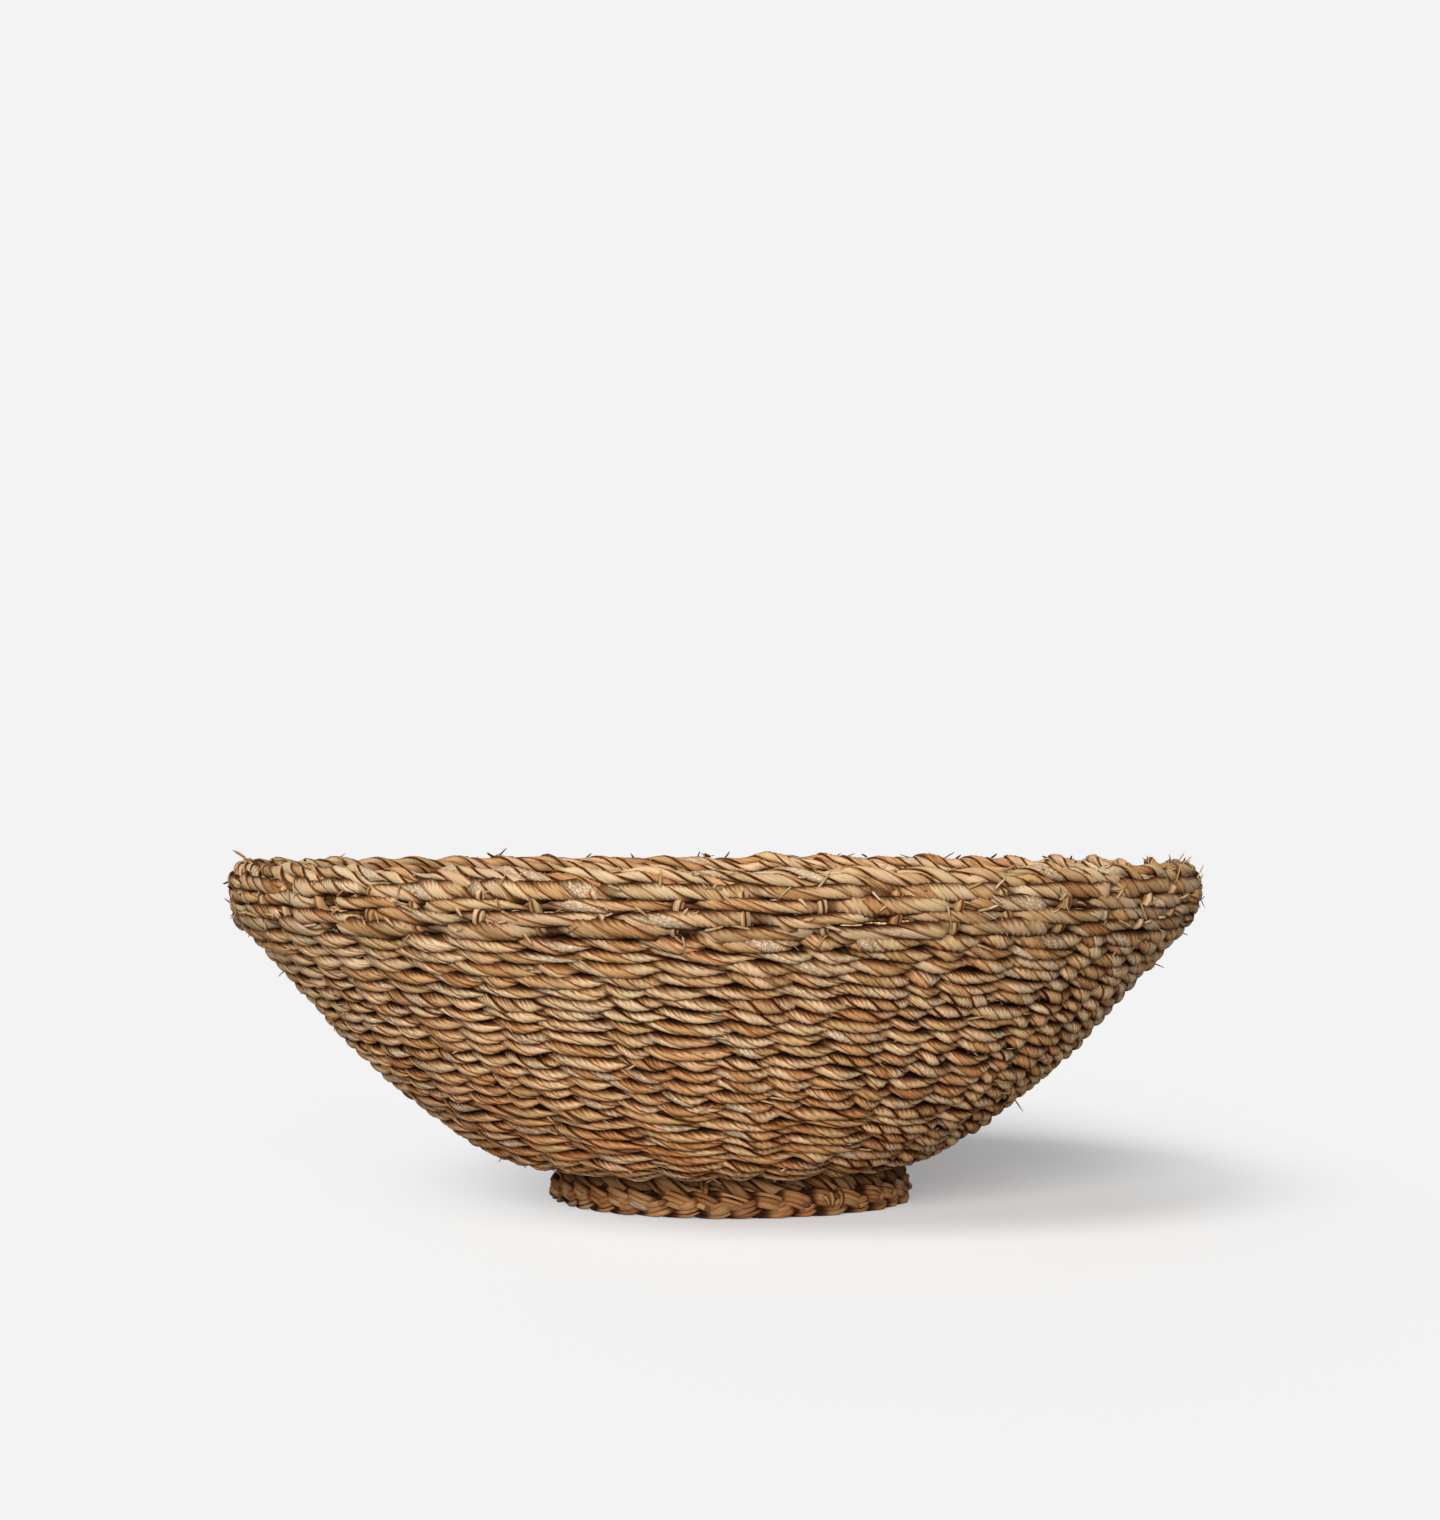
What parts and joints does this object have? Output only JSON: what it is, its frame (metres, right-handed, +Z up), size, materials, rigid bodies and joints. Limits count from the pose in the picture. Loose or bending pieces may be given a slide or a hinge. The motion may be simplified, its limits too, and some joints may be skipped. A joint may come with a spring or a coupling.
{
  "type": "footed seagrass basket",
  "caption": "Wide, open, round bowl basket woven from seagrass rope, with a rolled rope rim and a low rope foot ring.",
  "frame": {"origin": "middle of the foot ring's underside, on the surface that the basket stands on", "axes": "+Z up, out of the bowl's mouth; X and Y across the round bowl, with the pictured side facing -Y"},
  "size_m": [0.4992, 0.4992, 0.173],
  "materials": {
    "weaver_rope": "dry matt seagrass leaf, twisted to rope, straw to tan",
    "rim_rope": "dry matt seagrass leaf, thicker looser rope, straw",
    "foot_rope": "dry matt seagrass leaf, plaited, reddish brown",
    "stake_cord": "dry matt seagrass leaf cord"
  },
  "bodies": {
    "root": {"lower_stake_cord_01": "stake_cord", "lower_stake_cord_02": "stake_cord", "lower_stake_cord_03": "stake_cord", "lower_stake_cord_04": "stake_cord", "lower_stake_cord_05": "stake_cord", "lower_stake_cord_06": "stake_cord", "lower_stake_cord_07": "stake_cord", "lower_stake_cord_08": "stake_cord", "lower_stake_cord_09": "stake_cord", "lower_stake_cord_10": "stake_cord", "lower_stake_cord_11": "stake_cord", "lower_stake_cord_12": "stake_cord", "upper_stake_cord_01": "stake_cord", "upper_stake_cord_02": "stake_cord", "upper_stake_cord_03": "stake_cord", "upper_stake_cord_04": "stake_cord", "upper_stake_cord_05": "stake_cord", "upper_stake_cord_06": "stake_cord", "upper_stake_cord_07": "stake_cord", "upper_stake_cord_08": "stake_cord", "upper_stake_cord_09": "stake_cord", "upper_stake_cord_10": "stake_cord", "upper_stake_cord_11": "stake_cord", "upper_stake_cord_12": "stake_cord", "base_course_01": "weaver_rope", "base_course_02": "weaver_rope", "base_course_03": "weaver_rope", "base_course_04": "weaver_rope", "wall_course_01": "weaver_rope", "wall_course_02": "weaver_rope", "wall_course_03": "weaver_rope", "wall_course_04": "weaver_rope", "wall_course_05": "weaver_rope", "wall_course_06": "weaver_rope", "wall_course_07": "weaver_rope", "wall_course_08": "weaver_rope", "wall_course_09": "weaver_rope", "wall_course_10": "weaver_rope", "wall_course_11": "weaver_rope", "wall_course_12": "weaver_rope", "wall_course_13": "weaver_rope", "wall_course_14": "weaver_rope", "wall_course_15": "weaver_rope", "wall_course_16": "weaver_rope", "wall_course_17": "weaver_rope", "wall_course_18": "weaver_rope", "wall_course_19": "weaver_rope", "wall_course_20": "weaver_rope", "rim_course_01": "rim_rope", "rim_course_02": "rim_rope", "rim_course_03": "rim_rope", "rim_course_04": "rim_rope", "rim_border": "rim_rope", "foot_braid": "foot_rope", "foot_course": "foot_rope"}
  },
  "joints": []
}
